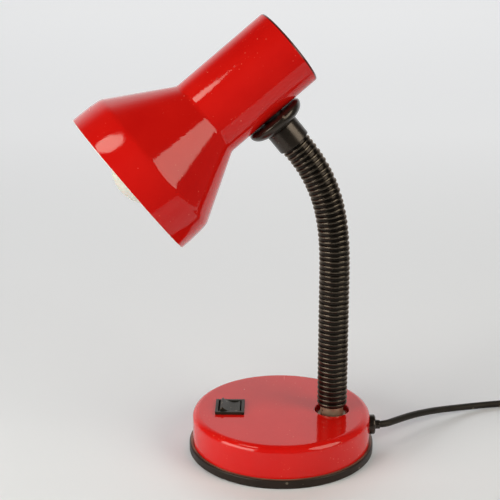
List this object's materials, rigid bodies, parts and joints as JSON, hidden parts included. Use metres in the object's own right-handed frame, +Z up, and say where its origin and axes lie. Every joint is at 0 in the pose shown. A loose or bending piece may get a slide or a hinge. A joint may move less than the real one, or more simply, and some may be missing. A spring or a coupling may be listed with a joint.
{
  "type": "desk lamp",
  "caption": "Gooseneck desk lamp: a flat round weighted base with a rocker switch, a ribbed flexible neck and a swivelling cone shade with a screw-in bulb, cord and plug.",
  "frame": {"origin": "centre of the round foot's underside, on the table", "axes": "+Z up; +X from the switch towards the neck and the cord; the shade hangs over towards -X and -Y"},
  "size_m": [0.5042, 0.1728, 0.3315],
  "materials": {
    "red_enamel": "glossy red enamel",
    "foot_black": "satin black moulding",
    "satin_black": "satin black paint",
    "dome_black": "glossy black moulding",
    "neck_dark": "dark bronze-black satin",
    "switch_black": "moulded black",
    "bronze": "dull bronze",
    "cord_black": "matte black flex",
    "plug_black": "matte black moulding",
    "nickel": "nickel-plated brass",
    "weight_iron": "rough cast",
    "steel": "zinc-plated steel",
    "white_moulding": "natural white moulding",
    "wire_sleeve": "wire insulation",
    "spacer_black": "moulded spacer",
    "holder_moulding": "glazed white",
    "holder_brass": "bright brass",
    "cap_metal": "rolled cap",
    "bulb_glass": "clear cream glass",
    "stem_glass": "clear stem"
  },
  "bodies": {
    "base": {"base_tray": "foot_black", "base_housing": "red_enamel", "base_weight": "weight_iron", "housing_posts": "steel", "tray_screws": "steel", "switch_body": "switch_black", "switch_terminals": "nickel", "cord_grommet": "cord_black", "cord_clamp": "white_moulding", "clamp_screws": "steel", "terminal_block": "white_moulding", "base_cord": "cord_black", "base_wires": "wire_sleeve", "neck_foot": "steel", "neck_ferrule": "bronze", "neck_washer": "steel", "neck_locknut": "steel", "neck_link_01": "neck_dark", "neck_cable": "wire_sleeve", "power_cord": "cord_black", "power_cord_coil": "cord_black", "cord_tie": "plug_black", "plug_body": "plug_black", "plug_pins": "nickel"},
    "rocker": {"switch_rocker": "switch_black"},
    "neck_02": {"neck_link_02": "neck_dark"},
    "neck_03": {"neck_link_03": "neck_dark"},
    "neck_04": {"neck_link_04": "neck_dark"},
    "neck_05": {"neck_link_05": "neck_dark"},
    "neck_06": {"neck_link_06": "neck_dark"},
    "neck_07": {"neck_link_07": "neck_dark"},
    "neck_08": {"neck_link_08": "neck_dark"},
    "neck_09": {"neck_link_09": "neck_dark"},
    "neck_10": {"neck_link_10": "neck_dark"},
    "neck_11": {"neck_link_11": "neck_dark"},
    "neck_12": {"neck_link_12": "neck_dark"},
    "neck_13": {"neck_link_13": "neck_dark"},
    "neck_14": {"neck_link_14": "neck_dark"},
    "neck_15": {"neck_link_15": "neck_dark"},
    "neck_16": {"neck_link_16": "neck_dark"},
    "neck_17": {"neck_link_17": "neck_dark"},
    "neck_18": {"neck_link_18": "neck_dark"},
    "neck_19": {"neck_link_19": "neck_dark", "neck_collar": "satin_black"},
    "head": {"swivel_nut": "steel", "dome_cap": "dome_black", "head_spacer": "spacer_black", "nipple": "steel", "nipple_washer": "steel", "nipple_nut": "steel", "shade": "red_enamel", "holder_bracket": "steel", "holder_body": "holder_moulding", "holder_shell": "holder_brass", "holder_contact": "holder_brass", "holder_stud": "steel", "holder_leads": "wire_sleeve", "bulb_glass": "bulb_glass", "bulb_cap": "cap_metal", "bulb_stem": "stem_glass"}
  },
  "joints": [
    {"name": "switch_rocker", "type": "hinge", "parent": "base", "child": "rocker", "pos_m": [-0.039, 0, 0.0307], "axis": [0, 1, 0], "range_deg": [-24, 0]},
    {"name": "neck_lower_bend", "type": "hinge", "parent": "base", "child": "neck_02", "pos_m": [0.0384, 0, 0.04055], "axis": [0, -1, 0], "range_deg": [-6, 6], "deforming": ["neck_cable"]},
    {"name": "neck_lower_03", "type": "hinge", "parent": "neck_02", "child": "neck_03", "pos_m": [0.0384, 0, 0.052], "axis": [0, -1, 0], "range_deg": [-6, 6]},
    {"name": "neck_sway", "type": "hinge", "parent": "neck_03", "child": "neck_04", "pos_m": [0.0384, 0, 0.06345], "axis": [1, 0, 0], "range_deg": [-6, 6], "deforming": ["neck_cable"]},
    {"name": "neck_lower_05", "type": "hinge", "parent": "neck_04", "child": "neck_05", "pos_m": [0.0384, 0, 0.0749], "axis": [0, -1, 0], "range_deg": [-6, 6]},
    {"name": "neck_lower_06", "type": "hinge", "parent": "neck_05", "child": "neck_06", "pos_m": [0.0384, 0, 0.08635], "axis": [0, -1, 0], "range_deg": [-6, 6]},
    {"name": "neck_sway_07", "type": "hinge", "parent": "neck_06", "child": "neck_07", "pos_m": [0.0384, 0, 0.0978], "axis": [1, 0, 0], "range_deg": [-6, 6]},
    {"name": "neck_lower_08", "type": "hinge", "parent": "neck_07", "child": "neck_08", "pos_m": [0.0384, 0, 0.10925], "axis": [0, -1, 0], "range_deg": [-6, 6]},
    {"name": "neck_lower_09", "type": "hinge", "parent": "neck_08", "child": "neck_09", "pos_m": [0.0384, 0, 0.1207], "axis": [0, -1, 0], "range_deg": [-6, 6]},
    {"name": "neck_sway_10", "type": "hinge", "parent": "neck_09", "child": "neck_10", "pos_m": [0.0384, 0, 0.13215], "axis": [1, 0, 0], "range_deg": [-6, 6]},
    {"name": "neck_upper_bend", "type": "hinge", "parent": "neck_10", "child": "neck_11", "pos_m": [0.0384, 0, 0.1436], "axis": [0, -1, 0], "range_deg": [-5, 2.5], "deforming": ["neck_cable"]},
    {"name": "neck_upper_12", "type": "hinge", "parent": "neck_11", "child": "neck_12", "pos_m": [0.0382, 0, 0.15505], "axis": [0, -1, 0], "range_deg": [-5, 2.5]},
    {"name": "neck_sway_13", "type": "hinge", "parent": "neck_12", "child": "neck_13", "pos_m": [0.0376, 0, 0.16648], "axis": [0.9945, 0, 0.1048], "range_deg": [-6, 6]},
    {"name": "neck_upper_14", "type": "hinge", "parent": "neck_13", "child": "neck_14", "pos_m": [0.0364, 0, 0.17787], "axis": [0, -1, 0], "range_deg": [-5, 2.5]},
    {"name": "neck_upper_15", "type": "hinge", "parent": "neck_14", "child": "neck_15", "pos_m": [0.03441, 0, 0.18915], "axis": [0, -1, 0], "range_deg": [-5, 2.5]},
    {"name": "neck_sway_16", "type": "hinge", "parent": "neck_15", "child": "neck_16", "pos_m": [0.03143, 0, 0.2002], "axis": [0.9332, 0, 0.3592], "range_deg": [-6, 6]},
    {"name": "neck_upper_17", "type": "hinge", "parent": "neck_16", "child": "neck_17", "pos_m": [0.02732, 0, 0.21089], "axis": [0, -1, 0], "range_deg": [-5, 2.5]},
    {"name": "neck_upper_18", "type": "hinge", "parent": "neck_17", "child": "neck_18", "pos_m": [0.02211, 0, 0.22108], "axis": [0, -1, 0], "range_deg": [-5, 2.5]},
    {"name": "neck_sway_19", "type": "hinge", "parent": "neck_18", "child": "neck_19", "pos_m": [0.01586, 0, 0.23068], "axis": [0.776, 0, 0.6307], "range_deg": [-6, 6]},
    {"name": "head_swivel", "type": "hinge", "parent": "neck_19", "child": "head", "pos_m": [0.00864, 0, 0.23956], "axis": [-0.6307, 0, 0.776], "range_deg": [-165, 165], "deforming": ["neck_cable"]}
  ],
  "couplings": [
    {"joint": "neck_lower_03", "follows": "neck_lower_bend", "ratio": 1},
    {"joint": "neck_lower_05", "follows": "neck_lower_bend", "ratio": 1},
    {"joint": "neck_lower_06", "follows": "neck_lower_bend", "ratio": 1},
    {"joint": "neck_sway_07", "follows": "neck_sway", "ratio": 1},
    {"joint": "neck_lower_08", "follows": "neck_lower_bend", "ratio": 1},
    {"joint": "neck_lower_09", "follows": "neck_lower_bend", "ratio": 1},
    {"joint": "neck_sway_10", "follows": "neck_sway", "ratio": 1},
    {"joint": "neck_upper_12", "follows": "neck_upper_bend", "ratio": 1},
    {"joint": "neck_sway_13", "follows": "neck_sway", "ratio": 1},
    {"joint": "neck_upper_14", "follows": "neck_upper_bend", "ratio": 1},
    {"joint": "neck_upper_15", "follows": "neck_upper_bend", "ratio": 1},
    {"joint": "neck_sway_16", "follows": "neck_sway", "ratio": 1},
    {"joint": "neck_upper_17", "follows": "neck_upper_bend", "ratio": 1},
    {"joint": "neck_upper_18", "follows": "neck_upper_bend", "ratio": 1},
    {"joint": "neck_sway_19", "follows": "neck_sway", "ratio": 1}
  ]
}
